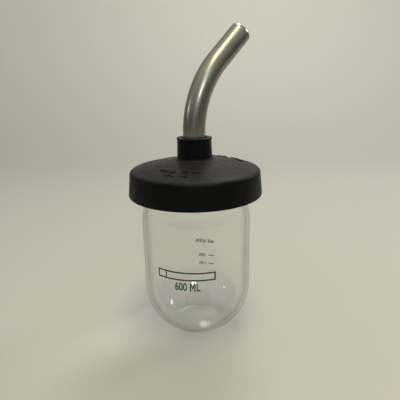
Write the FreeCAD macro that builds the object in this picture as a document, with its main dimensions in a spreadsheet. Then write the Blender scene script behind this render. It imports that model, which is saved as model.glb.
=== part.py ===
import FreeCAD, Part
import math
import os
import Sketcher

# A wide-mouth freeze-drying flask: a heavy glass jar with a round bottom, a one-piece moulded rubber
# cap that lifts off it, a bent steel adapter tube that turns in the cap's collar, and the filter
# paper that the cap holds over the jar's mouth.
# Millimetres. +Z is up the jar's axis, and the origin is the middle of its base, on the bench.

SIZES = {
    # glass jar
    "jar_radius": 48.2,
    "jar_wall": 2.6,
    "base_radius": 22.0,
    "kick_radius": 18.0,
    "kick_height": 1.6,
    "base_round": 6.0,
    "floor_round": 2.5,
    "shoulder_height": 100.0,
    "neck_radius": 45.8,
    "neck_height": 126.0,
    "bead_radius": 48.4,
    "bead_low_height": 133.4,
    "bead_round": 1.7,
    "bead_root_round": 0.8,
    "rim_height": 140.4,
    "rim_inner_round": 1.2,
    # rubber cap
    "ceiling_height": 141.0,
    "skirt_bore_radius": 48.8,
    "skirt_bottom_height": 128.2,
    "skirt_bottom_radius": 58.1,
    "skirt_top_radius": 56.1,
    "skirt_top_height": 149.6,
    "skirt_lead_in": 1.5,
    "skirt_edge_round": 0.9,
    "cap_edge_round": 4.0,
    "dome_radius": 260.0,
    "collar_root_height": 157.9,
    "collar_root_radius": 15.1,
    "collar_root_round": 3.2,
    "collar_neck_radius": 14.5,
    "lip_low_height": 174.7,
    "lip_radius": 15.1,
    "lip_rise": 0.6,
    "lip_round": 0.35,
    "collar_top_height": 176.4,
    "collar_lead_in": 1.6,
    "vapour_hole_radius": 8.3,
    "tube_stop_height": 149.0,
    # bent adapter tube, three quarters of an inch outside
    "tube_radius": 9.525,
    "tube_bore_radius": 8.28,
    "tube_running_gap": 0.05,
    "tube_seat_gap": 0.3,
    "tube_straight": 29.6,
    "bend_radius": 77.8,
    "bend_angle": 49.0,
    "bend_azimuth": 40.0,
    "tube_end_length": 36.4,
    "tube_edge_break": 0.3,
    # filter paper
    "filter_radius": 45.0,
    "filter_thickness": 0.25,
}

EDGE_MATCH = 0.01

doc = FreeCAD.newDocument("freeze_drying_flask")
sheet = doc.addObject("Spreadsheet::Sheet", "Sizes")
for row, (alias, number) in enumerate(SIZES.items(), start=1):
    sheet.set(f"A{row}", alias)
    sheet.set(f"B{row}", str(number))
    sheet.setAlias(f"B{row}", alias)
doc.recompute()


def amount(words):
    """The number that a sum of size names, such as "jar_radius - jar_wall", stands for."""
    total = 0.0
    sign = 1.0
    for word in words.split():
        if word in "+-":
            sign = 1.0 if word == "+" else -1.0
        else:
            total += sign * SIZES[word]
            sign = 1.0
    return total


def bound(words):
    """The same sum as an expression on the sheet's cells."""
    return " ".join(word if word in "+-" else f"Sizes.{word}" for word in words.split())


def plane(body, role):
    """One of a body's own origin planes, found by its role."""
    return next(item for item in body.Origin.OriginFeatures if item.Role == role)


def new_body(label):
    body = doc.addObject("PartDesign::Body", label)
    body.Label = label
    return body


def new_sketch(body, name, role):
    sketch = body.newObject("Sketcher::SketchObject", name)
    sketch.AttachmentSupport = [(plane(body, role), "")]
    sketch.MapMode = "FlatFace"
    return sketch


def bind(sketch, constraint, words):
    """Add a constraint whose value is bound to the sheet."""
    index = sketch.addConstraint(constraint)
    sketch.setExpression(f"Constraints[{index}]", bound(words))


def pin(sketch, edge, end, corner):
    """Hold a point at (radius, height): words are bound to the sheet, and a number is left free."""
    for kind, axis, words in zip(("DistanceX", "DistanceY"), (-2, -1), corner):
        if words == "":
            sketch.addConstraint(Sketcher.Constraint("PointOnObject", edge, end, axis))
        elif isinstance(words, str):
            bind(sketch, Sketcher.Constraint(kind, -1, 1, edge, end, amount(words)), words)


def spot(corner):
    """Where a corner starts, with its words turned into numbers."""
    return FreeCAD.Vector(*(amount(item) if isinstance(item, str) else item for item in corner), 0)


def outline(body, name, corners, centres):
    """Sketch a closed profile through corners, each (radius, height), in the body's XZ plane.

    centres maps an edge's number to the centre of the arc that it is, and other edges are straight.
    Returns the sketch, and for each edge which of its two ends is its first corner.
    """
    sketch = new_sketch(body, name, "XZ_Plane")
    points = [spot(corner) for corner in corners]
    firsts = []
    for edge, start in enumerate(points):
        end = points[(edge + 1) % len(points)]
        first = 1
        if edge in centres:
            centre = FreeCAD.Vector(*centres[edge], 0)
            arms = (start - centre, end - centre)
            if arms[0].cross(arms[1]).z < 0:
                first = 2
                arms = (arms[1], arms[0])
            turns = [math.atan2(arm.y, arm.x) for arm in arms]
            circle = Part.Circle(centre, FreeCAD.Vector(0, 0, 1), arms[0].Length)
            sketch.addGeometry(Part.ArcOfCircle(circle, *turns), False)
        else:
            sketch.addGeometry(Part.LineSegment(start, end), False)
        firsts.append(first)
    for edge, first in enumerate(firsts):
        after = (edge + 1) % len(points)
        sketch.addConstraint(Sketcher.Constraint("Coincident", edge, 3 - first, after, firsts[after]))
    for edge, first in enumerate(firsts):
        pin(sketch, edge, first, corners[edge])
    return sketch, firsts


def revolve(body, name, sketch):
    """Turn a profile about the body's Z axis."""
    turned = body.newObject("PartDesign::Revolution", name)
    turned.Profile = sketch
    turned.ReferenceAxis = (sketch, ["V_Axis"])
    turned.Angle = 360
    sketch.Visibility = False
    doc.recompute()
    return turned


def rings(feature, corners):
    """The names of the feature's circular edges at the corners, each (radius, height)."""
    names = []
    for corner in corners:
        place = spot(corner)
        for number, edge in enumerate(feature.Shape.Edges, start=1):
            if edge.Degenerated or not isinstance(edge.Curve, Part.Circle) or not edge.Closed:
                continue
            radius_gap = abs(edge.Curve.Radius - place.x)
            if max(radius_gap, abs(edge.Curve.Center.z - place.y)) < EDGE_MATCH:
                names.append(f"Edge{number}")
    if len(names) != len(corners):
        raise RuntimeError(f"{feature.Label}: {len(names)} edges found for {len(corners)} corners")
    return names


def dress(body, kind, name, feature, corners, words):
    """Fillet or chamfer the feature's circular edges at the corners, by a size in the sheet."""
    dressed = body.newObject(f"PartDesign::{kind}", name)
    dressed.Base = (feature, rings(feature, corners))
    dressed.setExpression("Size" if kind == "Chamfer" else "Radius", bound(words))
    doc.recompute()
    if "Invalid" in dressed.State:
        raise RuntimeError(f"{body.Label}: {name} failed")
    return dressed


def neck_arcs(wall):
    """The middle and both arc centres of a smooth step from the straight wall in to the neck.

    wall is how far inside the glass's outer face the step runs: two equal arcs, each upright where it
    meets the wall or the neck, so their centres are level with the step's ends.
    """
    wide = FreeCAD.Vector(SIZES["jar_radius"] - wall, SIZES["shoulder_height"], 0)
    narrow = FreeCAD.Vector(SIZES["neck_radius"] - wall, SIZES["neck_height"], 0)
    step = narrow - wide
    radius = step.Length ** 2 / (4 * abs(step.x))
    middle = (wide + narrow) * 0.5
    return middle, (wide.x - radius, wide.y), (narrow.x + radius, narrow.y)


def make_glass_jar():
    """A cylinder on a round bottom with a small flat base, necked in under a thick beaded rim."""
    body = new_body("glass_jar")
    base = SIZES["base_radius"]
    bowl_height = math.sqrt(SIZES["jar_radius"] ** 2 - base ** 2)
    floor_edge = bowl_height - math.sqrt(amount("jar_radius - jar_wall") ** 2 - base ** 2)
    kick_centre = (SIZES["kick_height"] ** 2 - SIZES["kick_radius"] ** 2) / (2 * SIZES["kick_height"])
    floor_middle = amount("kick_height + jar_wall")
    floor_centre = (floor_middle ** 2 - floor_edge ** 2 - base ** 2) / (2 * (floor_middle - floor_edge))
    outer_step, outer_low, outer_high = neck_arcs(0)
    inner_step, inner_low, inner_high = neck_arcs(SIZES["jar_wall"])
    corners = [
        ("", "kick_height"),
        ("kick_radius", ""),
        ("base_radius", ""),
        ("jar_radius", bowl_height),
        ("jar_radius", "shoulder_height"),
        (outer_step.x, outer_step.y),
        ("neck_radius", "neck_height"),
        ("neck_radius", "bead_low_height"),
        ("bead_radius", "bead_low_height"),
        ("bead_radius", "rim_height"),
        ("neck_radius - jar_wall", "rim_height"),
        ("neck_radius - jar_wall", "neck_height"),
        (inner_step.x, inner_step.y),
        ("jar_radius - jar_wall", "shoulder_height"),
        ("jar_radius - jar_wall", bowl_height),
        ("base_radius", floor_edge),
        ("", "kick_height + jar_wall"),
    ]
    kick_arc, bowl_arc, outer_neck, inner_neck, inner_bowl_arc, floor_arc = 0, 2, 4, 11, 14, 15
    centres = {
        kick_arc: (0, kick_centre),
        bowl_arc: (0, bowl_height),
        outer_neck: outer_low,
        outer_neck + 1: outer_high,
        inner_neck: inner_high,
        inner_neck + 1: inner_low,
        inner_bowl_arc: (0, bowl_height),
        floor_arc: (0, floor_centre),
    }
    sketch, firsts = outline(body, "jar_profile", corners, centres)
    for arc in (kick_arc, bowl_arc, inner_bowl_arc, floor_arc):
        sketch.addConstraint(Sketcher.Constraint("PointOnObject", arc, 3, -2))
    # both bowls are centred level with the bottom of the straight wall
    wall_foot = bowl_arc + 1
    sketch.addConstraint(Sketcher.Constraint("Horizontal", bowl_arc, 3, wall_foot, firsts[wall_foot]))
    bowl_top = firsts[inner_bowl_arc]
    sketch.addConstraint(Sketcher.Constraint("Horizontal", inner_bowl_arc, 3, inner_bowl_arc, bowl_top))
    sketch.addConstraint(Sketcher.Constraint("Horizontal", bowl_arc, 3, inner_bowl_arc, 3))
    for arc in (outer_neck, inner_neck):
        after = arc + 1
        sketch.addConstraint(Sketcher.Constraint("Horizontal", arc, 3, arc, firsts[arc]))
        sketch.addConstraint(Sketcher.Constraint("Horizontal", after, 3, after, 3 - firsts[after]))
        sketch.addConstraint(Sketcher.Constraint("Symmetric", arc, 3, after, 3, after, firsts[after]))
    turned = revolve(body, "jar_wall", sketch)
    base_edge = dress(body, "Fillet", "base_edge", turned, [corners[bowl_arc]], "base_round")
    floor = dress(body, "Fillet", "floor_edge", base_edge, [corners[floor_arc]], "floor_round")
    root = dress(body, "Fillet", "bead_root", floor, [corners[7]], "bead_root_round")
    bead = dress(body, "Fillet", "bead_edges", root, [corners[8], corners[9]], "bead_round")
    dress(body, "Fillet", "rim_inner_edge", bead, [corners[10]], "rim_inner_round")
    return body


def make_rubber_cap():
    """One moulding: a deep skirt, a domed cone on top of it, and an upright collar for the tube."""
    body = new_body("rubber_cap")
    corners = [
        ("vapour_hole_radius", "ceiling_height"),
        ("skirt_bore_radius", "ceiling_height"),
        ("skirt_bore_radius", "skirt_bottom_height"),
        ("skirt_bottom_radius", "skirt_bottom_height"),
        ("skirt_top_radius", "skirt_top_height"),
        ("collar_root_radius", "collar_root_height"),
        ("collar_neck_radius", "lip_low_height"),
        ("lip_radius", "lip_low_height + lip_rise"),
        ("lip_radius", "collar_top_height"),
        ("tube_radius + tube_running_gap", "collar_top_height"),
        ("tube_radius + tube_running_gap", "tube_stop_height"),
        ("vapour_hole_radius", "tube_stop_height"),
    ]
    dome = 4
    low = spot(corners[dome])
    high = spot(corners[dome + 1])
    run = high - low
    reach = math.sqrt(SIZES["dome_radius"] ** 2 - (run.Length / 2) ** 2)
    centre = (low + high) * 0.5 + FreeCAD.Vector(-run.y, run.x, 0).normalize() * reach
    sketch, firsts = outline(body, "cap_profile", corners, {dome: (centre.x, centre.y)})
    bind(sketch, Sketcher.Constraint("Radius", dome, SIZES["dome_radius"]), "dome_radius")
    turned = revolve(body, "cap_moulding", sketch)
    shoulder = dress(body, "Fillet", "cap_edge", turned, [corners[4]], "cap_edge_round")
    root = dress(body, "Fillet", "collar_root", shoulder, [corners[5]], "collar_root_round")
    skirt = dress(body, "Fillet", "skirt_edge", root, [corners[3]], "skirt_edge_round")
    lip = dress(body, "Fillet", "collar_lip", skirt, [corners[6], corners[7], corners[8]], "lip_round")
    lead = dress(body, "Chamfer", "skirt_lead_in", lip, [corners[2]], "skirt_lead_in")
    dress(body, "Chamfer", "collar_lead_in", lead, [corners[9]], "collar_lead_in")
    return body


def xz(point):
    """A sketch point in the XZ plane as a point in space."""
    return FreeCAD.Vector(point.x, 0, point.y)


def make_bent_adapter_tube():
    """A plain tube, straight through the collar, bent over, and straight again to its free end."""
    body = new_body("bent_adapter_tube")
    section = new_sketch(body, "tube_section", "XY_Plane")
    for index, words in enumerate(("tube_radius", "tube_bore_radius")):
        circle = Part.Circle(FreeCAD.Vector(), FreeCAD.Vector(0, 0, 1), amount(words))
        section.addGeometry(circle, False)
        section.addConstraint(Sketcher.Constraint("Coincident", index, 3, -1, 1))
        bind(section, Sketcher.Constraint("Radius", index, amount(words)), words)
    foot, bend, tail = 0, 1, 2
    angle = math.radians(SIZES["bend_angle"])
    foot_top = FreeCAD.Vector(0, SIZES["tube_straight"], 0)
    centre = foot_top + FreeCAD.Vector(SIZES["bend_radius"], 0, 0)
    circle = Part.Circle(centre, FreeCAD.Vector(0, 0, 1), SIZES["bend_radius"])
    bend_end = centre + FreeCAD.Vector(-math.cos(angle), math.sin(angle), 0) * SIZES["bend_radius"]
    tail_end = bend_end + FreeCAD.Vector(math.sin(angle), math.cos(angle), 0) * SIZES["tube_end_length"]
    route = new_sketch(body, "tube_route", "XZ_Plane")
    route.addGeometry(Part.LineSegment(FreeCAD.Vector(), foot_top), False)
    route.addGeometry(Part.ArcOfCircle(circle, math.pi - angle, math.pi), False)
    route.addGeometry(Part.LineSegment(bend_end, tail_end), False)
    route.addConstraint(Sketcher.Constraint("Coincident", foot, 1, -1, 1))
    route.addConstraint(Sketcher.Constraint("Vertical", foot))
    route.addConstraint(Sketcher.Constraint("Tangent", foot, 2, bend, 2))
    route.addConstraint(Sketcher.Constraint("Tangent", bend, 1, tail, 1))
    bind(route, Sketcher.Constraint("Distance", foot, SIZES["tube_straight"]), "tube_straight")
    bind(route, Sketcher.Constraint("Radius", bend, SIZES["bend_radius"]), "bend_radius")
    bind(route, Sketcher.Constraint("Distance", tail, SIZES["tube_end_length"]), "tube_end_length")
    turn = route.addConstraint(Sketcher.Constraint("Angle", bend, angle))
    route.setExpression(f"Constraints[{turn}]", "Sizes.bend_angle * 1 deg")
    doc.recompute()
    pipe = body.newObject("PartDesign::AdditivePipe", "tube_wall")
    pipe.Profile = section
    pipe.Spine = (route, ["Edge1", "Edge2", "Edge3"])
    section.Visibility = False
    route.Visibility = False
    doc.recompute()
    ends = [
        f"Edge{number}"
        for number, edge in enumerate(pipe.Shape.Edges, start=1)
        if isinstance(edge.Curve, Part.Circle)
        and min((edge.Curve.Center - end).Length for end in (FreeCAD.Vector(), xz(tail_end))) < EDGE_MATCH
    ]
    deburred = body.newObject("PartDesign::Chamfer", "deburred_ends")
    deburred.Base = (pipe, ends)
    deburred.setExpression("Size", bound("tube_edge_break"))
    body.Placement = FreeCAD.Placement(FreeCAD.Vector(), FreeCAD.Rotation(FreeCAD.Vector(0, 0, 1), 0))
    body.setExpression(".Placement.Base.z", bound("tube_stop_height + tube_seat_gap"))
    body.setExpression(".Placement.Rotation.Angle", "Sizes.bend_azimuth * 1 deg")
    doc.recompute()
    return body


def make_filter_paper():
    """A round filter paper, which the cap holds over the jar's mouth."""
    body = new_body("filter_paper")
    sketch = new_sketch(body, "paper_outline", "XY_Plane")
    circle = Part.Circle(FreeCAD.Vector(), FreeCAD.Vector(0, 0, 1), SIZES["filter_radius"])
    sketch.addGeometry(circle, False)
    sketch.addConstraint(Sketcher.Constraint("Coincident", 0, 3, -1, 1))
    bind(sketch, Sketcher.Constraint("Radius", 0, SIZES["filter_radius"]), "filter_radius")
    pad = body.newObject("PartDesign::Pad", "paper")
    pad.Profile = sketch
    pad.setExpression("Length", bound("filter_thickness"))
    sketch.Visibility = False
    body.setExpression(".Placement.Base.z", bound("ceiling_height - filter_thickness"))
    doc.recompute()
    return body


bodies = [make_glass_jar(), make_rubber_cap(), make_bent_adapter_tube(), make_filter_paper()]
doc.recompute()
failed = [item.Label for item in doc.Objects if {"Invalid", "Error"} & set(item.State)]
if failed:
    raise RuntimeError(f"these objects failed: {failed}")
for body in bodies:
    shape = body.Shape
    if shape.isNull() or not shape.isValid() or len(shape.Solids) != 1:
        raise RuntimeError(f"{body.Label} isn't one valid solid")
os.makedirs("parts", exist_ok=True)
for body in bodies:
    body.Shape.exportStep(f"parts/{body.Label}.step")
    box = body.Shape.BoundBox
    print(f"{body.Label}: {body.Shape.Volume / 1000:.1f} ml, z {box.ZMin:.2f} to {box.ZMax:.2f}")
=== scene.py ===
import math

import bmesh
import bpy
from mathutils import Matrix, Vector


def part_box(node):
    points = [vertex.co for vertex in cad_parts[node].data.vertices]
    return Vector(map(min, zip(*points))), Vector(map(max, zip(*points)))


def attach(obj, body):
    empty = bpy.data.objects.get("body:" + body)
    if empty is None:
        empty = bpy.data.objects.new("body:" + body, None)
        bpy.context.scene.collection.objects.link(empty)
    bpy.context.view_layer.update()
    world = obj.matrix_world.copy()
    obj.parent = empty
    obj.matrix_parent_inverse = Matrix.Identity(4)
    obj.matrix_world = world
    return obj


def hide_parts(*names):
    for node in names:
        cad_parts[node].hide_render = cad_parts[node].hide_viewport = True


# A freeze-drying flask on a pale studio floor. Metres, +Z up, and the printed side faces -Y.

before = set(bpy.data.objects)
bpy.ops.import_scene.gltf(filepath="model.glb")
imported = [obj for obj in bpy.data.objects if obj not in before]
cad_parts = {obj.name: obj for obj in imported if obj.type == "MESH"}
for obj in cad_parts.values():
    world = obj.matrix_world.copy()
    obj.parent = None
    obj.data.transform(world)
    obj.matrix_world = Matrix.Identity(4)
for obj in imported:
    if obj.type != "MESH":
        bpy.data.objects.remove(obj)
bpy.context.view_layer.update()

MM = 0.001
TURN = 2 * math.pi
ON_AXIS = 0.0001 * MM

# ---------------------------------------------------------------- sizes

_, jar_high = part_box("glass_jar")
cap_low, cap_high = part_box("rubber_cap")
tube_low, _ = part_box("bent_adapter_tube")
_, paper_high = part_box("filter_paper")

# glass jar
JAR_RADIUS = 48.2 * MM
JAR_WALL = 2.6 * MM
RIM_HEIGHT = jar_high.z
BASE_RADIUS = 22 * MM
KICK_RADIUS = 18 * MM
KICK_HEIGHT = 1.6 * MM
FOOT_ROUND = 6 * MM
FLOOR_ROUND = 2.5 * MM
SHOULDER_HEIGHT = 100 * MM
NECK_RADIUS = 45.8 * MM
NECK_HEIGHT = 126 * MM
BEAD_RADIUS = 48.4 * MM
BEAD_LOW_HEIGHT = 133.4 * MM
BEAD_ROOT_ROUND = 0.8 * MM
BEAD_ROUND = 1.7 * MM
RIM_INNER_ROUND = 1.2 * MM
STRAIGHT_NECK = 5 * MM

# rubber cap
SKIRT_BOTTOM = cap_low.z
COLLAR_TOP = cap_high.z
SKIRT_BORE = 48.8 * MM
SKIRT_BOTTOM_RADIUS = 58.1 * MM
SKIRT_TOP_RADIUS = 56.1 * MM
SKIRT_TOP = 149.6 * MM
DOME_RADIUS = 260 * MM
COLLAR_ROOT = (15.1 * MM, 157.9 * MM)
COLLAR_NECK = (14.5 * MM, 174.7 * MM)
COLLAR_LIP_RADIUS = 15.1 * MM
COLLAR_BORE = 9.575 * MM
SKIRT_LEAD_IN = 1.5 * MM
SKIRT_INNER_ROUND = 0.5 * MM
SKIRT_OUTER_ROUND = 0.9 * MM
SKIRT_TOP_ROUND = 4 * MM
DOME_INSET = 8 * MM
COLLAR_ROOT_ROUND = 3.2 * MM
LIP_RISE = 0.6 * MM
LIP_ROUND = 0.35 * MM
BORE_LEAD_IN = 1.6 * MM
BORE_ROUND = 0.3 * MM
VAPOUR_HOLE = 8.3 * MM
TUBE_STOP = 149 * MM
CEILING = paper_high.z

# bent adapter tube
TUBE_RADIUS = 9.525 * MM
TUBE_BORE = 8.28 * MM
TUBE_FOOT = tube_low.z
TUBE_STRAIGHT = 29.6 * MM
BEND_RADIUS = 77.8 * MM
BEND_ANGLE = math.radians(49)
BEND_AZIMUTH = math.radians(40)
TUBE_END = 36.4 * MM
TUBE_EDGE_BREAK = 0.1 * MM
UV_LENGTH = 100 * MM

# ---------------------------------------------------------------- profile helpers

def arc(centre, radius, first, last, steps=24):
    """Points of a profile's arc, angles in degrees from the outward direction towards +Z."""
    return [
        (centre[0] + radius * math.cos(a), centre[1] + radius * math.sin(a))
        for a in (math.radians(first + (last - first) * i / steps) for i in range(steps + 1))
    ]


def rounded(corners, steps=8):
    """A closed profile through corners (radius, height, rounding), each rounding a small arc."""
    points = []
    befores, afters = corners[-1:] + corners[:-1], corners[1:] + corners[:1]
    for before, (r, z, rounding), after in zip(befores, corners, afters):
        here = Vector((r, z))
        if not rounding:
            points.append((r, z))
            continue
        back = (Vector(before[:2]) - here).normalized()
        ahead = (Vector(after[:2]) - here).normalized()
        half = math.acos(max(-1, min(1, back.dot(ahead)))) / 2
        reach = rounding / math.tan(half)
        middle = here + (back + ahead).normalized() * (rounding / math.sin(half))
        start = here + back * reach - middle
        end = here + ahead * reach - middle
        sweep = start.angle_signed(end)
        for i in range(steps + 1):
            turned = start.copy()
            turned.rotate(Matrix.Rotation(-sweep * i / steps, 2))
            points.append(tuple(middle + turned))
    return points


def smooth_step(wide, narrow, steps=24):
    """Two equal arcs from one upright wall to another, each point (radius, height)."""
    rise, run = narrow[1] - wide[1], wide[0] - narrow[0]
    radius = (rise ** 2 + run ** 2) / (4 * run)
    half = math.asin(rise / 2 / radius)
    low = [(wide[0] - radius + radius * math.cos(half * i / steps),
            wide[1] + radius * math.sin(half * i / steps)) for i in range(steps + 1)]
    high = [(narrow[0] + radius - radius * math.cos(half * i / steps),
             narrow[1] - radius * math.sin(half * i / steps)) for i in range(steps - 1, -1, -1)]
    return low + high


def new_piece(name, mesh, body, material, stands_for=None):
    """Link a mesh as a shown piece that rides on a body."""
    piece = bpy.data.objects.new(name, mesh)
    bpy.context.scene.collection.objects.link(piece)
    piece.data.materials.append(material)
    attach(piece, body)
    if stands_for:
        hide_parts(stands_for)
    return piece


def lathe(name, profile, segments=192):
    """A closed surface of revolution. A profile point on the axis becomes one vertex."""
    bm = bmesh.new()
    turns = [TURN * i / segments for i in range(segments)]
    rows = []
    for radius, height in profile:
        if radius < ON_AXIS:
            rows.append([bm.verts.new((0, 0, height))])
        else:
            rows.append([
                bm.verts.new((radius * math.cos(a), radius * math.sin(a), height)) for a in turns
            ])
    pairs = list(zip(rows, rows[1:]))
    # a profile that doesn't start on the axis is a loop, so its last row meets its first
    if len(rows[0]) > 1:
        pairs.append((rows[-1], rows[0]))
    for low, high in pairs:
        for i in range(segments):
            j = (i + 1) % segments
            corners = [row[k % len(row)] for row, k in ((low, i), (low, j), (high, j), (high, i))]
            bm.faces.new([v for k, v in enumerate(corners) if v not in corners[:k]])
    bmesh.ops.recalc_face_normals(bm, faces=bm.faces)
    mesh = bpy.data.meshes.new(name)
    bm.to_mesh(mesh)
    bm.free()
    for face in mesh.polygons:
        face.use_smooth = True
    return mesh


# ---------------------------------------------------------------- materials

class Nodes:
    """A material's node tree with short helpers."""

    def __init__(self, name):
        self.material = bpy.data.materials.new(name)
        self.material.use_nodes = True
        self.tree = self.material.node_tree
        self.shader = self.tree.nodes["Principled BSDF"]
        self.output = self.tree.nodes["Material Output"]

    def add(self, kind, **settings):
        node = self.tree.nodes.new(kind)
        for key, value in settings.items():
            if key in node.inputs:
                node.inputs[key].default_value = value
            else:
                setattr(node, key, value)
        return node

    def link(self, source, target):
        self.tree.links.new(source, target)

    def coordinates(self, scale=(1, 1, 1), kind="Object"):
        mapping = self.add("ShaderNodeMapping")
        mapping.inputs["Scale"].default_value = scale
        self.link(self.add("ShaderNodeTexCoord").outputs[kind], mapping.inputs["Vector"])
        return mapping.outputs["Vector"]

    def noise(self, vector, scale, detail=4.0, roughness=0.55):
        node = self.add("ShaderNodeTexNoise", Scale=scale, Detail=detail, Roughness=roughness)
        self.link(vector, node.inputs["Vector"])
        return node.outputs["Fac"]

    def spread(self, factor, low, high, span=(0.3, 0.7)):
        """Map a factor onto a range of numbers: span is what goes in, low and high what comes out."""
        node = self.add("ShaderNodeMapRange")
        for socket, value in zip(("From Min", "From Max", "To Min", "To Max"), (*span, low, high)):
            node.inputs[socket].default_value = value
        self.link(factor, node.inputs["Value"])
        return node.outputs["Result"]

    def blend(self, factor, low, high, span=(0.3, 0.7)):
        """Map a factor onto a range of colours: span is what goes in, low and high what comes out."""
        ramp = self.add("ShaderNodeValToRGB")
        ends = ramp.color_ramp.elements
        ends[0].position, ends[1].position = span
        ends[0].color, ends[1].color = (*low, 1), (*high, 1)
        self.link(factor, ramp.inputs["Fac"])
        return ramp.outputs["Color"]

    def bump(self, height, distance, strength=1.0, after=None):
        node = self.add("ShaderNodeBump", Distance=distance, Strength=strength)
        self.link(height, node.inputs["Height"])
        if after:
            self.link(after, node.inputs["Normal"])
        return node.outputs["Normal"]


def glass_material():
    """Clear heavy borosilicate: fire-polished waviness, painted shade at its edges, and lamps reach
    through it.
    """
    n = Nodes("borosilicate_glass")
    # painted shade: the faint glass tint darkens to near black where the surface turns edge-on, standing
    # in for the dark edges that the surroundings give real glass
    edges = n.add("ShaderNodeLayerWeight", Blend=0.5)
    tint_and_edge_shade = n.blend(edges.outputs["Facing"], (0.955, 0.96, 0.95), (0.18, 0.195, 0.18), (0.52, 0.95))
    n.link(tint_and_edge_shade, n.shader.inputs["Base Color"])
    n.shader.inputs["Roughness"].default_value = 0.0
    n.shader.inputs["IOR"].default_value = 1.473
    n.shader.inputs["Transmission Weight"].default_value = 1.0
    where = n.coordinates((1, 1, 0.45))
    n.link(n.bump(n.noise(where, 18.0, 1.0), 0.0006, 0.08), n.shader.inputs["Normal"])
    clear = n.add("ShaderNodeBsdfTransparent", Color=(0.82, 0.84, 0.83, 1))
    mixer = n.add("ShaderNodeMixShader")
    n.link(n.add("ShaderNodeLightPath").outputs["Is Shadow Ray"], mixer.inputs[0])
    n.link(n.shader.outputs[0], mixer.inputs[1])
    n.link(clear.outputs[0], mixer.inputs[2])
    n.link(mixer.outputs[0], n.output.inputs["Surface"])
    depth = n.add("ShaderNodeVolumeAbsorption", Color=(0.765, 0.785, 0.765, 1), Density=34.0)
    n.link(depth.outputs[0], n.output.inputs["Volume"])
    return n.material


def rubber_material():
    """Moulded black rubber, matt, with a fine grain, a few specks of dust, and painted light: its upward
    faces are painted a lighter grey.
    """
    n = Nodes("black_rubber")
    where = n.coordinates()
    black = n.blend(n.noise(where, 45.0, 5.0), (0.0012, 0.0014, 0.0017), (0.0034, 0.0036, 0.0038))
    cells = n.add("ShaderNodeTexVoronoi", Scale=110.0)
    n.link(where, cells.inputs["Vector"])
    dust = n.add("ShaderNodeMix", data_type="RGBA")
    n.link(n.spread(cells.outputs["Distance"], 0.5, 0.0, (0.02, 0.05)), dust.inputs[0])
    n.link(black, dust.inputs[6])
    dust.inputs[7].default_value = (0.30, 0.29, 0.27, 1)
    # painted light: faces that point up are painted a lighter grey, standing in for the light that falls
    # on the cap's top from above
    painted_top_light = n.add("ShaderNodeMix", data_type="RGBA")
    facing = n.add("ShaderNodeSeparateXYZ")
    n.link(n.add("ShaderNodeNewGeometry").outputs["Normal"], facing.inputs[0])
    n.link(n.spread(facing.outputs["Z"], 0.0, 1.0, (0.5, 0.95)), painted_top_light.inputs[0])
    n.link(dust.outputs[2], painted_top_light.inputs[6])
    painted_top_light.inputs[7].default_value = (0.016, 0.0158, 0.0148, 1)
    n.link(painted_top_light.outputs[2], n.shader.inputs["Base Color"])
    n.link(n.spread(n.noise(where, 130.0, 6.0), 0.38, 0.56), n.shader.inputs["Roughness"])
    n.shader.inputs["Specular IOR Level"].default_value = 0.11
    grain = n.bump(n.noise(where, 2600.0, 2.0), 0.00008, 0.5)
    n.link(n.bump(n.noise(where, 60.0, 3.0), 0.0005, 0.25, grain), n.shader.inputs["Normal"])
    return n.material


def steel_material():
    """Satin stainless tube, with draw lines that run along it round the bend."""
    n = Nodes("stainless_steel")
    along = n.coordinates((260.0, 2.2, 1.0), "UV")
    lines = n.noise(along, 1.0, 6.0, 0.6)
    patches = n.noise(n.coordinates(), 38.0, 3.0)
    steel = n.blend(lines, (0.238, 0.226, 0.193), (0.365, 0.348, 0.302))
    n.link(steel, n.shader.inputs["Base Color"])
    n.shader.inputs["Metallic"].default_value = 1.0
    rough = n.add("ShaderNodeMath", operation="ADD")
    n.link(n.spread(lines, 0.0, 0.10), rough.inputs[0])
    n.link(n.spread(patches, 0.21, 0.28), rough.inputs[1])
    n.link(rough.outputs[0], n.shader.inputs["Roughness"])
    n.link(n.bump(lines, 0.00003, 0.6), n.shader.inputs["Normal"])
    return n.material


def paper_material():
    """White filter paper with a soft fibre texture."""
    n = Nodes("filter_paper")
    where = n.coordinates()
    fibres = n.blend(n.noise(where, 420.0, 6.0), (0.72, 0.71, 0.67), (0.86, 0.85, 0.81))
    n.link(fibres, n.shader.inputs["Base Color"])
    n.shader.inputs["Roughness"].default_value = 0.95
    n.link(n.bump(n.noise(where, 1500.0, 4.0), 0.0001, 0.6), n.shader.inputs["Normal"])
    return n.material


def enamel_material(name, low, high):
    """Enamel fired on glass: one ink, a little uneven in depth."""
    n = Nodes(name)
    where = n.coordinates()
    n.link(n.blend(n.noise(where, 900.0, 4.0), low, high), n.shader.inputs["Base Color"])
    n.link(n.spread(n.noise(where, 500.0, 2.0), 0.35, 0.55), n.shader.inputs["Roughness"])
    n.link(n.bump(n.noise(where, 2400.0, 2.0), 0.00004, 0.5), n.shader.inputs["Normal"])
    return n.material


GLASS = glass_material()
RUBBER = rubber_material()
STEEL = steel_material()
PAPER = paper_material()
DARK_ENAMEL = enamel_material("dark_enamel", (0.010, 0.018, 0.008), (0.022, 0.034, 0.014))
GREEN_ENAMEL = enamel_material("green_enamel", (0.008, 0.105, 0.010), (0.016, 0.150, 0.016))


# ---------------------------------------------------------------- glass jar

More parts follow.
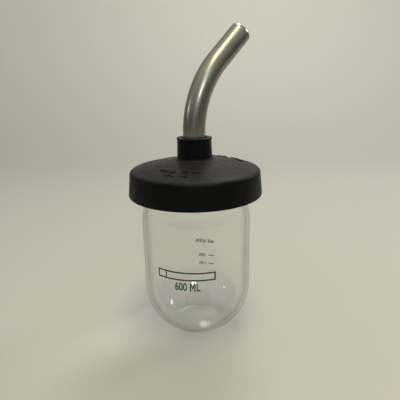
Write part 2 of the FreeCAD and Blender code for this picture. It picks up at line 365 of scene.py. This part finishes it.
def jar_profile():
    """The jar's section, up the outside and down the inside, to the middle of the floor."""
    bowl_height = math.sqrt(JAR_RADIUS ** 2 - BASE_RADIUS ** 2)
    inner = JAR_RADIUS - JAR_WALL
    floor_turn = math.degrees(math.acos(BASE_RADIUS / inner))
    outside = [(KICK_RADIUS * t, KICK_HEIGHT * (1 - t ** 2)) for t in (i / 10 for i in range(11))]
    # the foot's edge is a small arc that runs from the flat ring into the round bottom
    edge_radius = math.sqrt((JAR_RADIUS - FOOT_ROUND) ** 2 - (bowl_height - FOOT_ROUND) ** 2)
    tangent = math.degrees(math.atan2(bowl_height - FOOT_ROUND, edge_radius))
    outside += arc((edge_radius, FOOT_ROUND), FOOT_ROUND, -90, -tangent, 8)
    outside += arc((0, bowl_height), JAR_RADIUS, -tangent, 0, 40)[1:]
    outside += smooth_step((JAR_RADIUS, SHOULDER_HEIGHT), (NECK_RADIUS, NECK_HEIGHT))
    inner_neck = NECK_RADIUS - JAR_WALL
    bead = rounded([
        (NECK_RADIUS, NECK_HEIGHT + STRAIGHT_NECK, 0),
        (NECK_RADIUS, BEAD_LOW_HEIGHT, BEAD_ROOT_ROUND),
        (BEAD_RADIUS, BEAD_LOW_HEIGHT, BEAD_ROUND),
        (BEAD_RADIUS, RIM_HEIGHT, BEAD_ROUND),
        (inner_neck, RIM_HEIGHT, RIM_INNER_ROUND),
        (inner_neck, NECK_HEIGHT + STRAIGHT_NECK, 0),
    ])
    inside = smooth_step((inner, SHOULDER_HEIGHT), (inner_neck, NECK_HEIGHT))[::-1]
    bowl = arc((0, bowl_height), inner, 0, -floor_turn, 40)
    floor_edge = bowl[-1]
    floor_middle = KICK_HEIGHT + JAR_WALL
    floor = [
        (floor_edge[0] * (1 - t), floor_edge[1] + (floor_middle - floor_edge[1]) * (1 - (1 - t) ** 2))
        for t in (i / 12 for i in range(1, 12))
    ]
    corner = rounded([(*bowl[-2], 0), (*floor_edge, FLOOR_ROUND), (*floor[0], 0)])
    return outside + bead + inside + bowl[:-2] + corner + floor[1:] + [(0, floor_middle)]


new_piece("glass_jar_wall", lathe("glass_jar_wall", jar_profile(), 256),
          "jar", GLASS, "glass_jar")


# ---------------------------------------------------------------- print on the glass

PRINT_LIFT = 0.04 * MM
PRINT_DEPTH = 0.05 * MM
CAPITAL_SHARE = 0.72  # of the font's size
BEND_COLUMN = 0.8 * MM
M_STEM = 1.1 * MM
M_DIAGONAL = 2.6 * MM
M_VALLEY = 1.2 * MM


def wrap_on_jar(mesh, level, azimuth):
    """Bend a flat mesh (x across, y up, z out) round the jar, its middle at a level and azimuth."""
    for vertex in mesh.vertices:
        turn = azimuth + vertex.co.x / JAR_RADIUS
        radius = JAR_RADIUS + PRINT_LIFT + vertex.co.z
        vertex.co = (radius * math.cos(turn), radius * math.sin(turn), level + vertex.co.y)
    mesh.update()
    return mesh


def cut_across(bm, width):
    """Cut a flat mesh, centred on x, into columns narrow enough to bend."""
    cuts = max(4, int(width / BEND_COLUMN))
    for i in range(1, cuts):
        everything = [*bm.verts, *bm.edges, *bm.faces]
        place = (-width / 2 + width * i / cuts, 0, 0)
        bmesh.ops.bisect_plane(bm, geom=everything, plane_co=place, plane_no=(1, 0, 0))


def text_mesh(name, words, height, depth, width, weight):
    """Plain sans characters as a flat mesh: centred, fitted to a width, fine enough to bend."""
    curve = bpy.data.curves.new(name, "FONT")
    curve.body = words
    curve.align_x = "CENTER"
    curve.align_y = "CENTER"
    curve.size = height / CAPITAL_SHARE
    curve.offset = weight
    curve.extrude = depth / 2
    curve.resolution_u = 6
    holder = bpy.data.objects.new(name, curve)
    mesh = bpy.data.meshes.new_from_object(holder)
    bpy.data.objects.remove(holder)
    bm = bmesh.new()
    bm.from_mesh(mesh)
    low, high = (pick(v.co.x for v in bm.verts) for pick in (min, max))
    middle = (low + high) / 2
    for vertex in bm.verts:
        vertex.co.x = (vertex.co.x - middle) * width / (high - low)
    cut_across(bm, width)
    bm.to_mesh(mesh)
    bm.free()
    return mesh


def letter_m_mesh(name, depth, width, low, high):
    """A bold capital M, drawn from a listed outline because the font's own M folds over itself when it
    is bold.
    """
    side, stem = width / 2, width / 2 - M_STEM
    valley = low + M_VALLEY
    outline = [
        (side, low), (side, high), (stem, high),
        (0, valley + M_DIAGONAL),
        (-stem, high), (-side, high), (-side, low), (-stem, low), (-stem, high - M_DIAGONAL),
        (0, valley),
        (stem, high - M_DIAGONAL), (stem, low),
    ]
    strokes = ((0, 1, 2, 10, 11), (2, 3, 9, 10), (3, 4, 8, 9), (4, 5, 6, 7, 8))
    bm = bmesh.new()
    back, front = ([bm.verts.new((x, y, z)) for x, y in outline] for z in (-depth / 2, depth / 2))
    for layer in (back, front):
        for stroke in strokes:
            bm.faces.new([layer[i] for i in stroke])
    for i in range(len(outline)):
        j = (i + 1) % len(outline)
        bm.faces.new((back[i], back[j], front[j], front[i]))
    bmesh.ops.recalc_face_normals(bm, faces=bm.faces)
    cut_across(bm, width)
    mesh = bpy.data.meshes.new(name)
    bm.to_mesh(mesh)
    bm.free()
    return mesh


def strip(bm, x0, x1, y0, y1, depth):
    """A thin bar from x0 to x1 and y0 to y1, cut across so that it can bend round the jar."""
    cuts = max(1, math.ceil(abs(x1 - x0) / BEND_COLUMN))
    columns = []
    for i in range(cuts + 1):
        x = x0 + (x1 - x0) * i / cuts
        columns.append([bm.verts.new(corner) for corner in (
            (x, y0, -depth / 2), (x, y1, -depth / 2), (x, y1, depth / 2), (x, y0, depth / 2))])
    for left, right in zip(columns, columns[1:]):
        for k in range(4):
            bm.faces.new((left[k], left[(k + 1) % 4], right[(k + 1) % 4], right[k]))
    bm.faces.new(columns[0][::-1])
    bm.faces.new(columns[-1])


def bars_mesh(name, bars, depth):
    """Several thin bars as one flat mesh."""
    bm = bmesh.new()
    for bar in bars:
        strip(bm, *bar, depth)
    bmesh.ops.recalc_face_normals(bm, faces=bm.faces)
    mesh = bpy.data.meshes.new(name)
    bm.to_mesh(mesh)
    bm.free()
    return mesh


def print_piece(name, mesh, level, azimuth, material):
    """Lay a flat mesh on the glass as a piece of fired enamel."""
    return new_piece(name, wrap_on_jar(mesh, level, azimuth), "jar", material)


def label_bars(width, height, line):
    """A plain write-on panel: a ruled box with a small square at its left end."""
    w, k = width / 2, height / 2
    uprights = [(x, x + line, -k + line, k - line) for x in (-w, -w + height, w - line)]
    return [(-w, w, k - line, k), (-w, w, -k, -k + line), *uprights]


FRONT = -math.pi / 2
BACK = math.pi / 2

PANEL_WIDTH = 50.5 * MM
PANEL_HEIGHT = 7.6 * MM
PANEL_LINE = 1.25 * MM
PANEL_LEVEL = 70 * MM
PANEL_TURN = FRONT - math.radians(11.3)

CAPACITY_LEVEL = 60.3 * MM
CAPACITY_TURN = FRONT - math.radians(9.5)
CAPACITY_CHARACTER = 7.2 * MM
CAPACITY_WEIGHT = 0.27 * MM
NUMBER_WIDTH, NUMBER_OFFSET = 10.4 * MM, -5.5 * MM
LETTER_M_WIDTH, LETTER_M_OFFSET = 4.8 * MM, 4.4 * MM
LETTER_L_WIDTH, LETTER_L_OFFSET = 3.2 * MM, 9.1 * MM

MARK_LEVELS = {"150": 37 * MM, "200": 46.5 * MM}
MARK_TURN = BACK - math.radians(6.3)
MARK_WIDTH = 7 * MM
MARK_CHARACTER = 3.4 * MM
MARK_WEIGHT = 0.12 * MM
MARK_LINE = (-3.4 * MM, 3.4 * MM, -0.4 * MM, 0.4 * MM)
MARK_LINE_TURN = BACK - math.radians(18.2)
HEADER_WIDTH = 20 * MM
HEADER_LEVEL = 62 * MM
HEADER_TURN = BACK - math.radians(9.5)

panel = bars_mesh("write_on_panel", label_bars(PANEL_WIDTH, PANEL_HEIGHT, PANEL_LINE), PRINT_DEPTH)
print_piece("write_on_panel", panel, PANEL_LEVEL, PANEL_TURN, DARK_ENAMEL)

number, letter_l = (
    text_mesh(f"capacity_{part}", words, CAPACITY_CHARACTER, PRINT_DEPTH, width, CAPACITY_WEIGHT)
    for part, words, width in (("number", "600", NUMBER_WIDTH), ("letter_l", "L", LETTER_L_WIDTH))
)
letter_low, letter_high = (pick(v.co.y for v in letter_l.vertices) for pick in (min, max))
letter_m = letter_m_mesh("capacity_letter_m", PRINT_DEPTH, LETTER_M_WIDTH, letter_low, letter_high)
for mesh, offset in ((number, NUMBER_OFFSET), (letter_m, LETTER_M_OFFSET), (letter_l, LETTER_L_OFFSET)):
    print_piece(mesh.name, mesh, CAPACITY_LEVEL, CAPACITY_TURN + offset / JAR_RADIUS, GREEN_ENAMEL)

for words, level in MARK_LEVELS.items():
    digits = text_mesh(f"mark_{words}", words, MARK_CHARACTER, PRINT_DEPTH, MARK_WIDTH, MARK_WEIGHT)
    print_piece(f"mark_{words}", digits, level, MARK_TURN, DARK_ENAMEL)
    line = bars_mesh(f"mark_line_{words}", [MARK_LINE], PRINT_DEPTH)
    print_piece(f"mark_line_{words}", line, level, MARK_LINE_TURN, DARK_ENAMEL)
header = text_mesh("mark_header", "ml \u00b15%", MARK_CHARACTER, PRINT_DEPTH, HEADER_WIDTH, MARK_WEIGHT)
print_piece("mark_header", header, HEADER_LEVEL, HEADER_TURN, DARK_ENAMEL)


# ---------------------------------------------------------------- rubber cap

def dome_height(radius):
    """The height of the cap's top at a radius, on one large arc from skirt to collar."""
    low, high = Vector((SKIRT_TOP_RADIUS, SKIRT_TOP)), Vector(COLLAR_ROOT)
    run = high - low
    reach = math.sqrt(DOME_RADIUS ** 2 - (run.length / 2) ** 2)
    centre = (low + high) / 2 + Vector((-run.y, run.x)).normalized() * reach
    return centre.y + math.sqrt(DOME_RADIUS ** 2 - (radius - centre.x) ** 2)


def cap_profile():
    """The moulding's section: skirt outside, dome, collar, its bore, and the hollow underneath."""
    outer, inner = SKIRT_TOP_RADIUS - DOME_INSET, COLLAR_ROOT[0] + DOME_INSET
    dome = [outer + (inner - outer) * i / 10 for i in range(11)]
    neck_radius, lip_low = COLLAR_NECK
    corners = [
        (SKIRT_BORE, SKIRT_BOTTOM + SKIRT_LEAD_IN, SKIRT_INNER_ROUND),
        (SKIRT_BORE + SKIRT_LEAD_IN, SKIRT_BOTTOM, SKIRT_INNER_ROUND),
        (SKIRT_BOTTOM_RADIUS, SKIRT_BOTTOM, SKIRT_OUTER_ROUND),
        (SKIRT_TOP_RADIUS, SKIRT_TOP, SKIRT_TOP_ROUND),
        *[(radius, dome_height(radius), 0) for radius in dome],
        (*COLLAR_ROOT, COLLAR_ROOT_ROUND),
        (neck_radius, lip_low, LIP_ROUND),
        (COLLAR_LIP_RADIUS, lip_low + LIP_RISE, LIP_ROUND),
        (COLLAR_LIP_RADIUS, COLLAR_TOP, LIP_ROUND),
        (COLLAR_BORE + BORE_LEAD_IN, COLLAR_TOP, BORE_ROUND),
        (COLLAR_BORE, COLLAR_TOP - BORE_LEAD_IN, BORE_ROUND),
        (COLLAR_BORE, TUBE_STOP, 0),
        (VAPOUR_HOLE, TUBE_STOP, 0),
        (VAPOUR_HOLE, CEILING, 0),
        (SKIRT_BORE, CEILING, 0),
    ]
    return rounded(corners)


new_piece("cap_moulding", lathe("cap_moulding", cap_profile(), 224),
          "cap", RUBBER, "rubber_cap")


def lay_on_dome(mesh, radius, azimuth):
    """Lay a flat mesh (x across, y towards the collar, z up) on the dome, its middle at a radius."""
    for vertex in mesh.vertices:
        reach = radius - vertex.co.y
        turn = azimuth + vertex.co.x / radius
        vertex.co = (reach * math.cos(turn), reach * math.sin(turn), dome_height(reach) + vertex.co.z)
    mesh.update()
    return mesh


MOULD_MARK_WEIGHT = 0.1 * MM
MOULD_MARKS = {
    # name: words, character height, relief, width, radius, direction
    "mould_mark_row_one": ("600 ml   19 mm", 3.6 * MM, 0.5 * MM, 36 * MM, 37.5 * MM, math.radians(-110)),
    "mould_mark_row_two": ("3/4   45", 3.6 * MM, 0.5 * MM, 20 * MM, 44 * MM, math.radians(-110)),
    "mould_mark_back": ("19 mm   600 ml", 4.2 * MM, 0.7 * MM, 44 * MM, 42 * MM, math.radians(42)),
}
for name, (words, height, relief, width, radius, azimuth) in MOULD_MARKS.items():
    raised = text_mesh(name, words, height, 2 * relief, width, MOULD_MARK_WEIGHT)
    new_piece(name, lay_on_dome(raised, radius, azimuth), "cap", RUBBER)


# ---------------------------------------------------------------- bent adapter tube

def tube_route(steps_foot=8, steps_bend=64, steps_end=14):
    """Centres and directions along the tube, foot first."""
    lean = Vector((math.cos(BEND_AZIMUTH), math.sin(BEND_AZIMUTH), 0))
    up = Vector((0, 0, 1))
    heights = [TUBE_FOOT + TUBE_STRAIGHT * i / steps_foot for i in range(steps_foot + 1)]
    stops = [(Vector((0, 0, height)), up) for height in heights]
    corner = Vector((0, 0, TUBE_FOOT + TUBE_STRAIGHT))
    for i in range(1, steps_bend + 1):
        a = BEND_ANGLE * i / steps_bend
        centre = corner + BEND_RADIUS * ((1 - math.cos(a)) * lean + math.sin(a) * up)
        stops.append((centre, math.sin(a) * lean + math.cos(a) * up))
    end, way = stops[-1]
    stops += [(end + way * TUBE_END * i / steps_end, way) for i in range(1, steps_end + 1)]
    return stops


def tube_mesh(name, sides=128):
    """The tube's wall, outside and inside, with broken edges at both ends and a lengthwise UV."""
    side = Vector((-math.sin(BEND_AZIMUTH), math.cos(BEND_AZIMUTH), 0))
    stops = tube_route()
    (foot, up), (top, out) = stops[0], stops[-1]
    edge = TUBE_EDGE_BREAK
    rings = [(foot + up * edge, up, TUBE_RADIUS)]
    rings += [(centre, way, TUBE_RADIUS) for centre, way in stops[1:-1]]
    rings += [(top - out * edge, out, TUBE_RADIUS), (top, out, TUBE_RADIUS - edge)]
    rings += [(top, out, TUBE_BORE + edge), (top - out * edge, out, TUBE_BORE)]
    rings += [(centre, way, TUBE_BORE) for centre, way in stops[-2:0:-1]]
    rings += [(foot + up * edge, up, TUBE_BORE), (foot, up, TUBE_BORE + edge)]
    rings += [(foot, up, TUBE_RADIUS - edge)]
    bm = bmesh.new()
    uv = bm.loops.layers.uv.new("along")
    turns = [TURN * i / sides for i in range(sides)]
    rows, lengths, travelled = [], [], 0.0
    for index, (centre, way, radius) in enumerate(rings):
        across = way.cross(side)
        rows.append([
            bm.verts.new(centre + radius * (math.cos(a) * across + math.sin(a) * side)) for a in turns
        ])
        if index:
            travelled += (centre - rings[index - 1][0]).length + abs(radius - rings[index - 1][2])
        lengths.append(travelled)
    for index in range(len(rows)):
        after = (index + 1) % len(rows)
        for i in range(sides):
            j = (i + 1) % sides
            face = bm.faces.new((rows[index][i], rows[index][j], rows[after][j], rows[after][i]))
            # the end faces and broken edges stay flat-shaded, so that they don't sparkle
            face.smooth = rings[index][2] == rings[after][2]
            ends = (lengths[index], lengths[index], lengths[after], lengths[after])
            for loop, u, v in zip(face.loops, (i, i + 1, i + 1, i), ends):
                loop[uv].uv = (u / sides, v / UV_LENGTH)
    bmesh.ops.recalc_face_normals(bm, faces=bm.faces)
    mesh = bpy.data.meshes.new(name)
    bm.to_mesh(mesh)
    bm.free()
    return mesh


new_piece("adapter_tube_wall", tube_mesh("adapter_tube_wall"),
          "adapter", STEEL, "bent_adapter_tube")


# ---------------------------------------------------------------- filter paper

# its CAD disc has the right shape and stays; only its material is new
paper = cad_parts["filter_paper"]
paper.data.materials.clear()
paper.data.materials.append(PAPER)


# ---------------------------------------------------------------- studio

SWEEP_SIDE = 1.6
SWEEP_FRONT = -1.2
SWEEP_BACK = 1.2
SWEEP_CURVE = 0.5
SWEEP_TOP = 1.5
SWEEP_FLOOR = -0.2 * MM


def sweep_material():
    """Pale and plain: the floor is a shade greyer than the backdrop that it curves up into."""
    n = Nodes("pale_sweep")
    split = n.add("ShaderNodeSeparateXYZ")
    n.link(n.coordinates(), split.inputs[0])
    colour = n.blend(split.outputs["Z"], (0.45, 0.438, 0.414), (0.84, 0.82, 0.775), (0.0, 0.5))
    n.link(colour, n.shader.inputs["Base Color"])
    n.shader.inputs["Roughness"].default_value = 0.7
    return n.material


def studio_sweep():
    """A pale floor that curves up into a backdrop far behind."""
    line = [(SWEEP_FRONT, SWEEP_FLOOR)]
    line += arc((SWEEP_BACK - SWEEP_CURVE, SWEEP_FLOOR + SWEEP_CURVE), SWEEP_CURVE, -90, 0)
    line += [(SWEEP_BACK, SWEEP_TOP)]
    vertices = [(x, y, z) for y, z in line for x in (-SWEEP_SIDE, SWEEP_SIDE)]
    faces = [(2 * i, 2 * i + 1, 2 * i + 3, 2 * i + 2) for i in range(len(line) - 1)]
    mesh = bpy.data.meshes.new("studio_sweep")
    mesh.from_pydata(vertices, [], faces)
    for face in mesh.polygons:
        face.use_smooth = True
    sweep = bpy.data.objects.new("studio_sweep", mesh)
    bpy.context.scene.collection.objects.link(sweep)
    mesh.materials.append(sweep_material())


def area_light(name, place, target, width, height, power, colour):
    """A rectangular lamp at a place, turned towards a target. Power is in watts."""
    light = bpy.data.lights.new(name, "AREA")
    light.shape = "RECTANGLE"
    light.size, light.size_y = width, height
    light.energy = power
    light.color = colour
    lamp = bpy.data.objects.new(name, light)
    lamp.location = place
    lamp.rotation_euler = (Vector(target) - Vector(place)).to_track_quat("-Z", "Y").to_euler()
    bpy.context.scene.collection.objects.link(lamp)


def studio_world():
    """Light from all round, bright overhead and dim at the horizon, to give glass and steel edges."""
    world = bpy.data.worlds.new("studio")
    world.use_nodes = True
    tree = world.node_tree
    coordinates = tree.nodes.new("ShaderNodeTexCoord")
    split = tree.nodes.new("ShaderNodeSeparateXYZ")
    ramp = tree.nodes.new("ShaderNodeValToRGB")
    tree.links.new(coordinates.outputs["Generated"], split.inputs[0])
    tree.links.new(split.outputs["Z"], ramp.inputs["Fac"])
    tree.links.new(ramp.outputs["Color"], tree.nodes["Background"].inputs["Color"])
    horizon, high = ramp.color_ramp.elements
    horizon.position, horizon.color = 0.05, (0.16, 0.155, 0.15, 1)
    high.position, high.color = 0.9, (1.0, 0.98, 0.95, 1)
    middle = ramp.color_ramp.elements.new(0.45)
    middle.color = (0.5, 0.5, 0.5, 1)
    tree.nodes["Background"].inputs["Strength"].default_value = 0.72
    bpy.context.scene.world = world


OBJECT_MIDDLE = (0, 0, 0.13)
WARM = (1.0, 0.88, 0.42)
COOL = (0.88, 0.94, 1.0)
NEUTRAL = (1.0, 0.97, 0.92)
LAMPS = {
    # name: place, target, width, height, power, colour
    "overhead_strip": ((0.08, -0.25, 1.2), (0.08, -0.25, 0), 0.20, 0.60, 4.2, WARM),
    "front_strip": ((0.17, -0.95, 1.15), OBJECT_MIDDLE, 0.14, 0.9, 0.75, COOL),
    "key_lamp": ((0.25, -1.14, 0.90), OBJECT_MIDDLE, 0.34, 0.24, 2.7, NEUTRAL),
    "low_front_glow": ((-0.20, -1.9, 0.6), OBJECT_MIDDLE, 0.12, 0.8, 0.4, COOL),
    "left_lamp": ((-1.32, -0.18, 0.63), OBJECT_MIDDLE, 0.10, 0.10, 0.8, NEUTRAL),
    "right_lamp": ((1.13, 0.50, 0.83), OBJECT_MIDDLE, 0.22, 0.12, 3.6, NEUTRAL),
    "rear_lamp": ((0.24, 0.72, 1.20), OBJECT_MIDDLE, 0.42, 0.36, 5.4, NEUTRAL),
}

studio_sweep()
studio_world()
for name, lamp in LAMPS.items():
    area_light(name, *lamp)
bpy.context.scene.view_settings.view_transform = "Standard"

# ---------------------------------------------------------------- camera

CAMERA_PLACE = (3.8 * MM, -340 * MM, 224 * MM)
CAMERA_PITCH = math.radians(16.9)
CAMERA_ROLL = math.radians(1.15)
CAMERA_LENS = 36  # as wide as the sensor, in mm
camera_data = bpy.data.cameras.new("camera")
camera_data.sensor_width = CAMERA_LENS
camera_data.lens = CAMERA_LENS
camera_data.clip_start = 0.01
camera = bpy.data.objects.new("camera", camera_data)
tilt = Matrix.Rotation(math.pi / 2 - CAMERA_PITCH, 4, "X") @ Matrix.Rotation(-CAMERA_ROLL, 4, "Z")
camera.matrix_world = Matrix.Translation(CAMERA_PLACE) @ tilt
bpy.context.scene.collection.objects.link(camera)
bpy.context.scene.camera = camera
